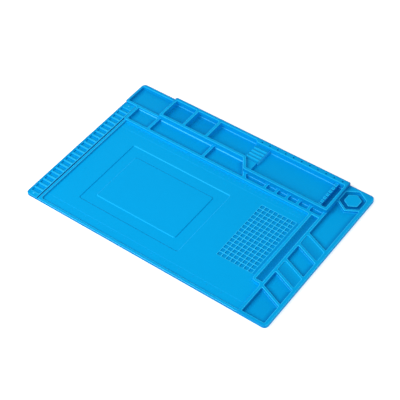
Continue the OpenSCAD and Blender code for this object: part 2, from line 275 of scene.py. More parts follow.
class Moulding:
    """One moulded piece in the making, in millimetres."""

    def __init__(self):
        self.mesh = bmesh.new()
        self.marks = [self.mesh.verts.layers.float.new(name) for name in MARKS]

    def point(self, place, *marks):
        """One point with its marks."""
        made = self.mesh.verts.new(place)
        for layer, mark in zip(self.marks, marks):
            made[layer] = mark
        return made

    def row(self, outline, level, hollow=0.0, pale=1.0):
        """One loop of points: the outline moved outwards to a level.

        Painted shade and painted highlight are numbers, or rules for a point and its outward direction."""
        made = []
        for point, outward in outline:
            # Light is the share of painted highlight here; it also scales the gloss.
            shaded_tone, light = (rule(point, outward) if callable(rule) else rule for rule in (hollow, pale))
            place = (*(point + outward * level.offset), level.height)
            marks = light * level.pale, light * level.gloss, shaded_tone * (level.hollow or 0)
            made.append(self.point(place, *marks))
        return made

    def skin(self, outline, levels, pocket=False, hollow=0.0, pale=1.0):
        """Bands of faces from each level to the next."""
        top, bottom = levels[0].height, levels[-1].height
        rows = []
        for level in levels:
            # Where a level gives none, its painted shade grows with the depth.
            if level.hollow is None:
                level = level._replace(hollow=(top - level.height) / (top - bottom) if top > bottom else 1)
            rows.append(self.row(outline, level, hollow, pale))
        for upper, lower in zip(rows, rows[1:]):
            for a, b, c, d in zip(upper, lower, lower[1:] + lower[:1], upper[1:] + upper[:1]):
                self.mesh.faces.new((d, c, b, a) if pocket else (a, b, c, d))
        return rows

    def paint(self, mark, share, points):
        """Give points the same share of a mark."""
        layer = self.marks[MARKS.index(mark)]
        for point in points:
            point[layer] = share

    def flat(self, border, holes=(), up=True):
        """A level face inside a border, round its holes."""
        points, sides = list(border), []
        for loop in holes:
            start = len(points)
            points += loop
            sides += [(start + i, start + (i + 1) % len(loop)) for i in range(len(loop))]
        plan = [Vector(point.co.xy) for point in points]
        _, _, faces, sources, *_ = delaunay_2d_cdt(plan, sides, [range(len(border))], 2, MERGE / 100)
        for face in faces:
            corners = [points[sources[i][0]] for i in face]
            a, b, c = (corner.co.xy for corner in corners[:3])
            if ((b - a).cross(c - a) > 0) != up:
                corners.reverse()
            self.mesh.faces.new(corners)

    def block(self, outline, top, bottom, radius, pockets=(), hollow=0.0, openings=(), pale=SOFT_HIGHLIGHT,
              band=EDGE_BAND, edge=None, gloss=0.0):
        """A closed block with rounded upper edges; a pocket with no levels goes right through.

        Openings are the borders of hollows that are made already."""
        end = [Level(0, bottom)]
        levels = lip(top, radius, -1, band=band, edge=edge, gloss=gloss) + end
        sides = self.skin(outline, levels, False, hollow, pale)
        upper, lower = list(openings), []
        for pocket in pockets:
            levels = lip(top, pocket.lip or radius, 1, edge=POCKET_LAND_SHADE) + (pocket.levels or end)
            hole = self.skin(pocket.outline, levels, True, pocket.hollow, pocket.pale)
            upper.append(hole[0])
            if pocket.levels:
                self.flat(hole[-1])
            else:
                lower.append(hole[-1])
        self.flat(sides[0], upper)
        self.flat(sides[-1], lower, up=False)

    def add_mesh(self, mesh, place=Matrix()):
        """Take in a finished mesh, which is then removed."""
        mesh.transform(place)
        self.mesh.from_mesh(mesh)
        bpy.data.meshes.remove(mesh)

    def close_below(self, bottom):
        """Run the open border of a surface, a rectangle, straight down and close it there."""
        bmesh.ops.remove_doubles(self.mesh, verts=self.mesh.verts, dist=MERGE)
        border = [point for point in self.mesh.verts if point.is_boundary]
        middle = sum((point.co for point in border), Vector()) / len(border)
        upper = sorted(border, key=lambda point: atan2(*(point.co - middle).xy))
        lower = [self.point((*point.co.xy, bottom)) for point in upper]
        for a, b, c, d in zip(upper, lower, lower[1:] + lower[:1], upper[1:] + upper[:1]):
            self.mesh.faces.new((a, b, c, d))
        self.mesh.faces.new(lower)
        bmesh.ops.recalc_face_normals(self.mesh, faces=self.mesh.faces)

    def to_mesh(self, name):
        """The mesh made so far, which ends the making."""
        mesh = bpy.data.meshes.new(name)
        self.mesh.to_mesh(mesh)
        self.mesh.free()
        return mesh

    def piece(self, name, *nodes):
        """The finished silicone piece, in metres, on its body, in place of its CAD nodes."""
        bmesh.ops.scale(self.mesh, vec=(MM, MM, MM), verts=self.mesh.verts)
        mesh = self.to_mesh(name)
        mesh.materials.clear()
        mesh.materials.append(SILICONE)
        mesh.shade_smooth()
        mesh.set_sharp_from_angle(angle=SMOOTH_ANGLE)
        made = new_object(name, mesh)
        even = made.modifiers.new("even_shading", "WEIGHTED_NORMAL")
        even.keep_sharp = True
        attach(made, "root")
        if nodes:
            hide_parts(*nodes)


# Node trees
class Value:
    """A number in a node tree; sums on it add Math nodes."""

    def __init__(self, nodes, source):
        self.nodes = nodes
        self.source = source

    def sum(self, operation, *terms):
        """The result of a Math node."""
        made = self.nodes.add("ShaderNodeMath", dict(enumerate(terms)), operation=operation)
        return Value(self.nodes, made)

    def sign(operation, turned=False):
        """The method for a sign between two terms; turned, the number is the second of them."""
        def act(self, other):
            return self.sum(operation, *((other, self) if turned else (self, other)))
        return act

    __add__ = __radd__ = sign("ADD")
    __sub__ = sign("SUBTRACT")
    __rsub__ = sign("SUBTRACT", turned=True)
    __mul__ = __rmul__ = sign("MULTIPLY")
    __truediv__ = sign("DIVIDE")

    def cosine(self):
        return self.sum("COSINE", self)

    def absolute(self):
        return self.sum("ABSOLUTE", self)

    def is_every(self, count):
        """1 for each number that can be divided by the count, else 0."""
        return self.sum("COMPARE", self.sum("MODULO", self, count), 0.0, 0.1)

    def between(self, low, high):
        """The number, but not below low or above high."""
        return self.sum("MAXIMUM", low, self.sum("MINIMUM", high, self))


class Nodes:
    """Adds nodes to a tree."""

    def __init__(self, tree):
        self.tree = tree
        tree.nodes.clear()

    def add(self, kind, sockets=(), **settings):
        """A node with its settings, then the values or links of its sockets.

        A link comes from a socket, a number in the tree, or the first output of a node."""
        node = self.tree.nodes.new(kind)
        for name, value in settings.items():
            setattr(node, name, value)
        for key, value in dict(sockets).items():
            source = value.source if isinstance(value, Value) else value
            if isinstance(source, bpy.types.Node):
                source = source.outputs[0]
            if isinstance(source, bpy.types.NodeSocket):
                self.tree.links.new(source, node.inputs[key])
            else:
                node.inputs[key].default_value = source
        return node

    def value(self, source):
        """A socket or a node as a number to do sums with."""
        return Value(self, source)

    def mark(self, name):
        """A mark that the piece's points carry."""
        return self.value(self.add("ShaderNodeAttribute", attribute_name=name).outputs["Fac"])

    def noise(self, place, scale, detail=2.0):
        """A soft pattern between 0 and 1."""
        return self.value(self.add("ShaderNodeTexNoise", {"Vector": place, "Scale": scale, "Detail": detail}))

    def blend(self, factor, first, second):
        """A colour between two colours: a Mix node takes them at inputs 6 and 7, and gives it at output 2."""
        sockets = {0: factor, 6: first, 7: second}
        return self.add("ShaderNodeMix", sockets, data_type="RGBA").outputs[2]


# Materials
OPEN_BLUES = ((0, 0.36, 0.78, 1), (0, 0.4, 0.85, 1))
# The colours of painted shade in recesses and of painted highlights on edges and glints
PAINTED_SHADE_BLUE = (0, 0.16, 0.48, 1)
PAINTED_HIGHLIGHT_BLUE = (0.03, 0.58, 1, 1)
SHEEN_BLUE = (0, 0.7, 1, 1)
NICKEL_GREYS = ((0.52, 0.5, 0.46, 1), (0.66, 0.65, 0.62, 1))
FLOOR_WHITES = ((0.96, 0.96, 0.96, 1), (0.98, 0.98, 0.98, 1))
FLOOR_GLOW = 0.4
SEEING_RAYS = ("Camera", "Glossy", "Transmission")


def new_material(name):
    """A material, its nodes and the place on the piece that they read."""
    material = bpy.data.materials.new(name)
    material.use_nodes = True
    nodes = Nodes(material.node_tree)
    return material, nodes, nodes.add("ShaderNodeTexCoord").outputs["Object"]


def blue_silicone():
    """Matt moulded silicone, shinier where it is rounded, with painted shade in its recesses and painted
    highlights on its rounded edges.
    """
    material, nodes, place = new_material("blue_silicone")
    pale, gloss, hollow = (nodes.mark(name) for name in MARKS)
    cloud = nodes.noise(place, scale=7, detail=3.0)
    mottle = nodes.noise(place, scale=90, detail=3.0)
    grain = nodes.noise(place, scale=1800)
    open_blue = nodes.blend(cloud * 0.7 + mottle * 0.3, *OPEN_BLUES)
    # Painted shade first, then painted highlight on top of it
    shaded_tone = nodes.blend(hollow, open_blue, PAINTED_SHADE_BLUE)
    colour = nodes.blend(pale * (0.75 + mottle * 0.3), shaded_tone, PAINTED_HIGHLIGHT_BLUE)
    height = grain * 0.6 + mottle * 0.4
    bump = nodes.add("ShaderNodeBump", {"Strength": 0.1, "Distance": 0.0002, "Height": height})
    shader = nodes.add("ShaderNodeBsdfPrincipled", {
        "Base Color": colour,
        "Roughness": 0.6 + grain * 0.1 - gloss * 0.4,
        "Coat Weight": gloss * 0.5,
        "Coat Roughness": 0.3,
        "Specular IOR Level": 0.35,
        "Specular Tint": SHEEN_BLUE,
        "Normal": bump,
    })
    nodes.add("ShaderNodeOutputMaterial", {"Surface": shader})
    return material


def magnet_plating():
    """Bright nickel plate with fine scuffs."""
    material, nodes, place = new_material("magnet_plating")
    cloud = nodes.noise(place, scale=160, detail=3.0)
    scuff = nodes.noise(place, scale=2500, detail=4.0)
    bump = nodes.add("ShaderNodeBump", {"Strength": 0.1, "Distance": 0.00005, "Height": scuff})
    shader = nodes.add("ShaderNodeBsdfPrincipled", {
        "Base Color": nodes.blend(cloud, *NICKEL_GREYS),
        "Metallic": 1.0,
        "Roughness": 0.2 + scuff * 0.2,
        "Normal": bump,
    })
    nodes.add("ShaderNodeOutputMaterial", {"Surface": shader})
    return material


def white_floor():
    """A floor that looks whiter than the light it gives back."""
    material, nodes, place = new_material("white_floor")
    colour = nodes.blend(nodes.noise(place, scale=3), *FLOOR_WHITES)
    shader = nodes.add("ShaderNodeBsdfPrincipled", {"Base Color": colour, "Roughness": 0.9})
    path = nodes.add("ShaderNodeLightPath").outputs
    in_view, in_gloss, in_glass = (nodes.value(path["Is %s Ray" % kind]) for kind in SEEING_RAYS)
    glow = nodes.add("ShaderNodeEmission", {"Strength": (in_view + in_gloss + in_glass) * FLOOR_GLOW})
    both = nodes.add("ShaderNodeAddShader", {0: shader, 1: glow})
    nodes.add("ShaderNodeOutputMaterial", {"Surface": both})
    return material


SILICONE = blue_silicone()


# Geometry trees for what repeats or follows a rule
def new_geometry_tree(name, **inputs):
    """A tree with named inputs for its sizes, by kind, and for its finish; returns its nodes and inputs."""
    tree = bpy.data.node_groups.new(name, "GeometryNodeTree")
    for kind, labels in (*inputs.items(), ("Material", ["Finish"])):
        for label in labels:
            tree.interface.new_socket(label, in_out="INPUT", socket_type="NodeSocket" + kind)
    tree.interface.new_socket("Geometry", in_out="OUTPUT", socket_type="NodeSocketGeometry")
    nodes = Nodes(tree)
    given = nodes.add("NodeGroupInput").outputs
    return nodes, {socket.name: nodes.value(socket) for socket in given if socket.name}


def end_geometry_tree(nodes, geometry, finish):
    """Make the copies real, join what touches and give it its finish."""
    real = nodes.add("GeometryNodeRealizeInstances", {"Geometry": geometry})
    merged = nodes.add("GeometryNodeMergeByDistance", {"Geometry": real, "Distance": MERGE})
    done = nodes.add("GeometryNodeSetMaterial", {"Geometry": merged, "Material": finish})
    nodes.add("NodeGroupOutput", {0: done})
    return nodes.tree


def cell_array_tree():
    """Copies of a cell in columns and rows."""
    nodes, given = new_geometry_tree(
        "cell_array", Object=["Cell"], Int=["Columns", "Rows"], Float=["Column pitch", "Row pitch"])
    copies = nodes.add("GeometryNodeObjectInfo", {"Object": given["Cell"]}).outputs["Geometry"]
    for axis, count, pitch in (("X", "Columns", "Column pitch"), ("Y", "Rows", "Row pitch")):
        step = nodes.add("ShaderNodeCombineXYZ", {axis: given[pitch]})
        line = nodes.add("GeometryNodeMeshLine", {"Count": given[count], "Offset": step}, mode="OFFSET")
        copies = nodes.add("GeometryNodeInstanceOnPoints", {"Points": line, "Instance": copies})
    return end_geometry_tree(nodes, copies, given["Finish"])


# Painted highlight on the rest's crests, edges and sides, and painted shade in its grooves
RIDGE_HIGHLIGHT = 0.4
GROOVE_SHADE = 0.35
REST_EDGE_HIGHLIGHT = 9.5
REST_SIDE_HIGHLIGHT = 0.3
REST_COLUMNS = 110
REST_ROWS = 90
REST_FOOT = 0.02


def ridged_block_tree():
    """A block whose top rises and falls in waves along Y, between its first and its last groove."""
    nodes, given = new_geometry_tree("ridged_block", Float=[
        "Width", "Depth", "Height", "Pitch", "Groove depth", "First groove", "Last groove", "Side slope"])
    base = nodes.add("GeometryNodeMeshGrid", {
        "Size X": given["Width"], "Size Y": given["Depth"],
        "Vertices X": REST_COLUMNS, "Vertices Y": REST_ROWS})
    rise = nodes.add("ShaderNodeCombineXYZ", {"Z": given["Height"]})
    solid = nodes.add("GeometryNodeExtrudeMesh", {
        "Mesh": base, "Offset": rise, "Offset Scale": 1.0, "Individual": False}, mode="FACES")
    place = nodes.add("ShaderNodeSeparateXYZ", {0: nodes.add("GeometryNodeInputPosition")})
    across, along = nodes.value(place.outputs["X"]), nodes.value(place.outputs["Y"])
    waved_part = along.between(given["Last groove"], given["First groove"])
    wave = ((waved_part - given["First groove"]) * (2 * pi) / given["Pitch"]).cosine() * 0.5 + 0.5
    side = nodes.value(nodes.add("ShaderNodeMapRange", {
        "Value": given["Width"] / 2 - across.absolute(), "From Max": given["Side slope"],
        "To Min": REST_FOOT}, interpolation_type="SMOOTHSTEP"))
    height = (given["Height"] - wave * given["Groove depth"]) * side
    drop = nodes.add("ShaderNodeCombineXYZ", {"Z": height - given["Height"]})
    waved = nodes.add("GeometryNodeSetPosition", {
        "Geometry": solid, "Selection": solid.outputs["Top"], "Offset": drop})
    under = nodes.add("GeometryNodeFlipFaces", {"Mesh": base})
    marked = nodes.add("GeometryNodeJoinGeometry", {0: waved})
    nodes.tree.links.new(under.outputs[0], marked.inputs[0])
    # Painted highlight along the crests and the upper edges, painted shade in the troughs
    edge = side * side * side * (1 - side) * REST_EDGE_HIGHLIGHT
    for name, mark in (("pale", (1 - wave) * side * RIDGE_HIGHLIGHT + edge + (1 - side) * REST_SIDE_HIGHLIGHT),
                       ("hollow", wave * side * GROOVE_SHADE)):
        marked = nodes.add("GeometryNodeStoreNamedAttribute", {
            "Geometry": marked, "Name": name, "Value": mark}, data_type="FLOAT", domain="POINT")
    return end_geometry_tree(nodes, marked, given["Finish"])


def from_tree(tree, **sizes):
    """The plain mesh that a geometry tree makes; an input's name has _ for a space."""
    holder = new_object("holder", bpy.data.meshes.new("holder"))
    maker = holder.modifiers.new("maker", "NODES")
    maker.node_group = tree
    sockets = {item.name: item.identifier for item in tree.interface.items_tree if item.in_out == "INPUT"}
    maker[sockets["Finish"]] = SILICONE
    for name, size in sizes.items():
        maker[sockets[name.replace("_", " ")]] = size
    return plain_mesh(holder)


def tick_row_tree():
    """A row of ticks along X; every so many is a middle or a long one."""
    nodes, given = new_geometry_tree(
        "tick_row", Object=["Tick"], Int=["Count", "Long every", "Middle every"],
        Float=["Pitch", "Middle share", "Short share"])
    tick = nodes.add("GeometryNodeObjectInfo", {"Object": given["Tick"]}).outputs["Geometry"]
    step = nodes.add("ShaderNodeCombineXYZ", {"X": given["Pitch"]})
    line = nodes.add("GeometryNodeMeshLine", {"Count": given["Count"], "Offset": step}, mode="OFFSET")
    index = nodes.value(nodes.add("GeometryNodeInputIndex"))
    middle, short = given["Middle share"], given["Short share"]
    length = short + index.is_every(given["Middle every"]) * (middle - short)
    length = length + index.is_every(given["Long every"]) * (1 - middle)
    scale = nodes.add("ShaderNodeCombineXYZ", {"X": 1.0, "Y": length, "Z": 1.0})
    copies = nodes.add("GeometryNodeInstanceOnPoints", {"Points": line, "Instance": tick, "Scale": scale})
    return end_geometry_tree(nodes, copies, given["Finish"])


CELL_ARRAY = cell_array_tree()


def cell_array(moulding, columns, rows, pitch):
    """A mesh with copies of one moulded cell, the first where the cell was made."""
    cell = bpy.data.objects.new("cell", moulding.to_mesh("cell"))
    mesh = from_tree(CELL_ARRAY, Cell=cell, Columns=columns, Rows=rows,
                     Column_pitch=pitch[0], Row_pitch=pitch[1])
    bpy.data.objects.remove(cell)
    return mesh


# Share of a cell's painted shade on its pocket floor
CELL_FLOOR_SHADE = 0.4


def pocket_cell(left, front, right, back, pocket, top, floor, radius, hollow, pale):
    """One cell of a row of pockets: a level land round a pocket with a clear floor, open below."""
    cell = Moulding()
    # The land gets painted highlight and the pocket painted shade.
    border = cell.row(box_ring(left, front, right, back, 0), Level(0, top, 1.0), pale=pale)
    *wall, foot = lip(top, radius, 1, steps=2, band=0) + cove(floor, radius, 1, steps=2)
    hole = cell.skin(pocket, wall + [foot._replace(hollow=CELL_FLOOR_SHADE)], True, hollow, pale)
    cell.flat(border, [hole[0]])
    cell.flat(hole[-1])
    return cell


# Outlines of the bins
# Painted shade of the bins' walls and floors, and gloss that comes with a painted glint at the foot of their
# back walls
CORNER_SHADE = 0.22
COLUMN_FLOOR_SHADES = (0.1, 0.15, 0.2, 0.25)
COLUMN_WALL_SHADE = 0.7
COLUMN_BIN_GLOSS_AND_GLINT = 0.35
COLUMN_COVE_R = 1.0
COLUMN_BIN_R = 1.2
LONG_BIN_GLOSS_AND_GLINT = 0.8
SMALL_BIN_GLOSS_AND_GLINT = 0.65
LONG_COVE_R = 1.8
SMALL_COVE_R = 1.2
FLOOR_FADE = 8.0
CORNER_BIN_SIDE = 3.5
CORNER_BIN_FRONT = 4.5
SMALL_PITCH = 20.0
SMALL_BIN_N = 5
END_BIN_W = 19.5


def low_bins():
    """The bins that go down to the sheet between low walls."""
    second_end = second_bin_x + SECOND_BIN_W
    corner = box_corners(sheet.left + CORNER_BIN_SIDE, row_front + CORNER_BIN_FRONT,
                         tall.left - SKIM, sheet.back - BACK_W, BIN_R)
    row = [
        box_corners(work_x, bins_front, work_x + FIRST_BIN_W, row_front, BIN_R),
        box_corners(second_bin_x, bins_front, second_end, row_front - SKIM, BIN_R),
        rounded([
            (third_bin_x, bins_front), (diagonal_left(bins_front) - SKIM, bins_front),
            (diagonal_left(row_front) - SKIM, row_front - SKIM), (third_bin_x, row_front - SKIM)], BIN_R)]
    made = [Bin(corners, SHALLOW_SHADE, SHALLOW_SHADE, LONG_COVE_R, LONG_BIN_GLOSS_AND_GLINT, FLOOR_FADE) for corners in row]
    return made + [Bin(corner, CORNER_SHADE, CORNER_SHADE, LONG_COVE_R, fade=FLOOR_FADE)]


def small_bins():
    """The row of small bins in front of the tool tray."""
    last_wall = column.left - END_BIN_W - WALL
    back = tall.front - SKIM
    first_right = last_wall - (SMALL_BIN_N - 1) * SMALL_PITCH
    row = [rounded([
        (diagonal_right(bins_front), bins_front), (first_right, bins_front),
        (first_right, back), (diagonal_right(back), back)], BIN_R)]
    for i in range(SMALL_BIN_N - 1):
        right = last_wall - i * SMALL_PITCH
        row.append(box_corners(right - SMALL_PITCH + WALL, bins_front, right, back, BIN_R))
    row.append(box_corners(last_wall + WALL, bins_front, column.left, back, BIN_R))
    return [Bin(corners, DEEP_SHADE, DEEP_SHADE, SMALL_COVE_R, SMALL_BIN_GLOSS_AND_GLINT) for corners in row]


SLANT = 0.4
slant_fall = SLANT * (column_out - column_in)


def slanted_corners(back, front, radius):
    """A bin across the right column; back and front are taken at its left side."""
    return rounded([
        (column_in + SKIM, front), (column_out, front - slant_fall),
        (column_out, back - slant_fall), (column_in + SKIM, back)], radius)


WELL_AF = 36.0
WELL_WALL = 4.0
WELL_R = 2.0
well_y = (island.front + island.back) / 2
well_point = well_y - (WELL_AF / 2 + WELL_WALL) / cos(pi / 6)
well_side = well_point + (column_out - column_in) / 2 * tan(pi / 6)


def column_bins():
    """The deep bins of the right column, from back to front."""
    upper, lower = magnetic_bins
    back_bin = [
        (column_in + SKIM, upper.back), (column_out, upper.back - slant_fall),
        (column_out, well_side), (column_mid, well_point), (column_in + SKIM, well_side)]
    front_bin = [
        (column_in, work_front), (column_out, work_front),
        (column_out, divider.front), (column_in, divider.front + slant_fall)]
    places = [
        rounded(back_bin, COLUMN_BIN_R),
        slanted_corners(upper.front + slant_fall, lower.back, COLUMN_BIN_R),
        slanted_corners(lower.front + slant_fall, divider.back, COLUMN_BIN_R),
        rounded(front_bin, COLUMN_BIN_R)]
    return [Bin(corners, COLUMN_WALL_SHADE, shaded_tone, COLUMN_COVE_R, COLUMN_BIN_GLOSS_AND_GLINT, FLOOR_FADE, CLEAR_HIGHLIGHT)
            for corners, shaded_tone in zip(places, COLUMN_FLOOR_SHADES)]


TALL_BIN_N = 2
TALL_BIN_W = 40.0
# Gloss with a painted glint at the tall bins' back feet, and painted shade on their walls, none on the left
TALL_BIN_GLOSS_AND_GLINT = 0.45
TALL_WALL_SHADE = facing(right=DEEP_SHADE, front=DEEP_SHADE, back=DEEP_SHADE)


def tall_bins():
    """The two tall bins, then the third one with the tool tray."""
    front = row_front + WALL
    back = sheet.back - BACK_W
    step = back - rail.front
    left = tall.left + WALL
    made = []
    for i in range(TALL_BIN_N):
        corners = box_corners(left, front, left + TALL_BIN_W, back, BIN_R)
        made.append(Bin(corners, TALL_WALL_SHADE, DEEP_SHADE, COVE_R, TALL_BIN_GLOSS_AND_GLINT, FLOOR_FADE))
        left += TALL_BIN_W + WALL
    tray = rounded([
        (left, front), (diagonal_right(front), front), (diagonal_right(tray_in), tray_in),
        (column.left, tray_in), (column.left, rail.front), (rail.left + step, rail.front),
        (rail.left, back), (left, back)], BIN_R)
    return made + [Bin(tray, SHALLOW_SHADE, SHALLOW_SHADE, COVE_R, TALL_BIN_GLOSS_AND_GLINT)]


# Painted shade in the nut well, less at its back
WELL_SHADE = facing(left=0.9, right=0.9, front=0.9, back=0.35)
WELL = Bin(hexagon_corners(column_mid, well_y, WELL_AF, WELL_R), WELL_SHADE, WELL_SHADE, edge=CLEAR_HIGHLIGHT)
LOW_BINS = low_bins() + small_bins() + column_bins() + [WELL]
TALL_BINS = tall_bins()

# The sheet with its floors, which curve up into the walls
FRAME_W = 190.0
FRAME_D = 137.0
FRAME_BAND = 19.0
FRAME_DEPTH = 1.0
FRAME_LEFT_GAP = 45.0
FRAME_FRONT_GAP = 41.5
FRAME_R = 3.0
FRAME_RUN = 1.4
# Painted shade and painted highlight on the sunk frame's slopes, by the side they face
FRAME_SHADE = 0.5
FRAME_HIGHLIGHT = 0.3
FRAME_BACK_HIGHLIGHT = 0.5
GROOVE_FLOOR = 1.0
SLOT_FADE = 0.4
RIM_R = 3.0
WORK_R = 4.0
WORK_FOOT_W = 1.0
SHADE_TONE = 0.4
SHADE_GAP = 0.3
SHADE_FADE = 0.6


def shaded_floor(moulding, outline, shaded_tone, fade, border_share):
    """A level patch of floor with painted shade within its border; returns the border."""
    levels = [Level(0, FLOOR, hollow=border_share), Level(-fade, FLOOR, hollow=1.0)]
    rows = moulding.skin(outline, levels, True, shaded_tone)
    moulding.flat(rows[-1])
    return rows[0]


def work_floor(moulding, floor_border):
    """The work floor with its window for the component pockets and its sunk frame; returns the window.

    The strip of floor between the pockets and the pen channel gets painted shade, and the sunk frame's slopes
    get painted shade and painted highlight by the side they face."""
    left = work_x + FRAME_LEFT_GAP
    front = sheet.front + FRAME_FRONT_GAP
    right = left + FRAME_W
    back = front + FRAME_D
    outer = box_ring(left, front, right, back, FRAME_R)
    inner = box_ring(left + FRAME_BAND, front + FRAME_BAND, right - FRAME_BAND, back - FRAME_BAND, FRAME_R)
    outer_rows = moulding.skin(outer, bevel(FLOOR, FRAME_DEPTH, FRAME_RUN, 1), True,
                               facing(left=FRAME_SHADE, front=FRAME_SHADE),
                               facing(right=FRAME_HIGHLIGHT, back=FRAME_BACK_HIGHLIGHT))
    inner_rows = moulding.skin(inner, bevel(FLOOR, FRAME_DEPTH, FRAME_RUN, -1), False,
                               facing(right=FRAME_SHADE, back=FRAME_SHADE),
                               facing(left=FRAME_HIGHLIGHT, front=FRAME_HIGHLIGHT))
    moulding.flat(inner_rows[0])
    moulding.flat(outer_rows[-1], [inner_rows[-1]])
    window = moulding.skin(box_ring(grid.left, grid.front, grid.right, grid.back, 0),
                           [Level(0, FLOOR), Level(0, sheet.bottom)], pocket=True)
    shade_right = channel.left - WORK_COVE_R - WORK_FOOT_W - SHADE_GAP
    shade = box_ring(grid.right + SHADE_GAP, grid.front, shade_right, grid.back, 0)
    holes = [outer_rows[0], window[0], shaded_floor(moulding, shade, SHADE_TONE, SHADE_FADE, 0.0)]
    moulding.flat(floor_border, holes)
    return window[-1]


# Painted shade on the sides of the mat and painted highlight on its upper edges, by the way they face
BORDER_SHADE = 1.0
FRONT_BORDER_SHADE = 0.45
RIGHT_BORDER_SHADE = 0.1
TRAY_FRONT_SHADE = 0.4
WORK_BACK_SHADE = 0.12
FRONT_BORDER_HIGHLIGHT = 0.15
RIGHT_BORDER_HIGHLIGHT = 0.8
LAND_SHADE = 0.4
BORDER_W = MAT_R * (1 - cos(pi / 4)) + SKIM
SHEET_FOOT = [level._replace(hollow=1.0) for level in cove(sheet.bottom, FOOT_R, 1)]


def border_tone(point, outward):
    """Painted shade on the sides: most on the mat's outer sides at the back and the left, less at its right
    and front, some on the tall tray's front and a little on sides inside that face the front.
    """
    if min(point.x - sheet.left, sheet.back - point.y) < BORDER_W:
        return BORDER_SHADE
    if sheet.right - point.x < BORDER_W:
        return RIGHT_BORDER_SHADE
    if point.y - sheet.front < BORDER_W:
        return FRONT_BORDER_SHADE
    if abs(point.y - tall.front) < BIN_R:
        return TRAY_FRONT_SHADE
    return WORK_BACK_SHADE if outward.y < 0 else 0.0


def border_edge(point, outward):
    """Painted highlight on the upper edge: strong at the mat's right, less at its front, none at its back and
    left, soft elsewhere.
    """
    if min(point.x - sheet.left, sheet.back - point.y) < BORDER_W:
        return 0.0
    if sheet.right - point.x < BORDER_W:
        return RIGHT_BORDER_HIGHLIGHT
    return FRONT_BORDER_HIGHLIGHT if point.y - sheet.front < BORDER_W else SOFT_HIGHLIGHT


LEFT_FOOT_SHADE = 0.3
FRONT_FOOT_SHADE = 0.15


def work_foot_tone(point, outward):
    """Painted shade at the foot of the rim, at the left and the front of the work floor."""
    if point.x < work_x + WORK_R / 2:
        return LEFT_FOOT_SHADE
    return FRONT_FOOT_SHADE if point.y < work_front + WORK_R / 2 else 0.0


# Painted shade at the foot of the bins' walls, where shade falls; a glossy bin's back foot has gloss and a
# painted glint in its place
SIDE_SHADE = 0.55
FRONT_SHADE = 0.3
BACK_SHADE = 0.25
TALL_SIDE_SHADE = 0.15
TALL_FRONT_SHADE = 0.4
BACK_FOOT_GLINT_AND_GLOSS = facing(back=1.0)


def floor_edge(radius, gloss=0.0):
    """The levels by which a floor curves up to its walls, which it meets just behind their faces."""
    return [Level(TUCK, FLOOR), Level(TUCK, FLOOR + radius)] + cove(FLOOR, radius, 1, gloss=gloss)


def foot_tone(bin_):
    """Painted shade along the walls of a floor that fades, but not at the back wall's foot when it has gloss
    and its painted glint.
    """
    if not bin_.fade:
        return bin_.floor
    if bin_ in TALL_BINS:
        return facing(right=TALL_SIDE_SHADE, front=TALL_FRONT_SHADE, plain=bin_.floor)
    return facing(SIDE_SHADE, SIDE_SHADE, FRONT_SHADE, 0.0 if bin_.gloss else BACK_SHADE, bin_.floor)


def groove_ring():
    """The floor of the groove, with a margin under the round lower edges along the strip."""
    left = strip.right - FOOT_R
    right = rim.left + FOOT_R
    front = sheet.front + FOOT_R
    seam_left = sheet.left + FOOT_R
    seam_front = row_front - FOOT_R
    seam_back = row_front + FOOT_R
    return ring([(x, y, 0) for x, y in (
        (strip.right, sheet.front), (rim.left, sheet.front), (rim.left, front), (right, front),
        (right, seam_back), (seam_left, seam_back), (seam_left, seam_front), (left, seam_front),
        (left, front), (strip.right, front))])


def mat_sheet():
    """The sheet, with the floors of the work area, the bins and the groove."""
    made = Moulding()
    outline = ring([
        (rim.left, sheet.front, 0), (sheet.right, sheet.front, MAT_R), (sheet.right, sheet.back, MAT_R),
        (sheet.left, sheet.back, MAT_R), (sheet.left, row_front, 0), (rim.left, row_front, 0)])
    # The mat's sides get painted shade.
    sides = made.skin(outline, [Level(0, FLOOR, hollow=1.0)] + SHEET_FOOT, hollow=border_tone)
    work = ring([
        (work_x, work_front, WORK_R), (column.left, work_front, WORK_R), (column.left, channel.front, WORK_R),
        (channel.left, channel.front, MAT_R), (channel.left, long_bins.front, WORK_R),
        (work_x, long_bins.front, WORK_R)])
    fade = Level(-WORK_COVE_R - WORK_FOOT_W, FLOOR, hollow=0.0)
    rows = made.skin(work, floor_edge(WORK_COVE_R) + [fade], True, work_foot_tone)
    window = work_floor(made, rows[-1])
    holes = [rows[0]]
    for bin_ in LOW_BINS + TALL_BINS:
        rows = made.skin(ring(bin_.corners), floor_edge(bin_.cove, bin_.gloss), True,
                         foot_tone(bin_), BACK_FOOT_GLINT_AND_GLOSS)
        holes.append(rows[0])
        inner = []
        if bin_ is TALL_BINS[-1]:
            # Painted shade on the tray's floor beside the blade comb
            slot = box_ring(comb.right, tray_in + COVE_R, column.left - COVE_R, rail.front - COVE_R, 0)
            inner.append(shaded_floor(made, slot, NARROW_SHADE, SLOT_FADE, bin_.floor))
        elif bin_.fade:
            # The painted shade along the walls fades to the floor's own share of it by this ring.
            plain = Level(-bin_.cove - bin_.fade, FLOOR, hollow=1.0)
            inner.append(made.row(ring(rounded(bin_.corners, 0)), plain, bin_.floor))
            made.flat(inner[0])
        made.flat(rows[-1], inner)
    made.flat(sides[0], holes)
    made.flat(sides[-1], [window], up=False)
    # The groove gets painted shade.
    groove = made.skin(groove_ring(), [Level(0, GROOVE_FLOOR, hollow=1.0), Level(0, sheet.bottom)],
                       hollow=NARROW_SHADE)
    made.flat(groove[0])
    made.flat(groove[-1], up=False)
    made.piece("sheet", "base_sheet")


MAGNETIC_DEPTH = 1.0
MAGNETIC_LIP = 0.5
MAGNETIC_COVE = 0.5
MAGNETIC_R = 2.0
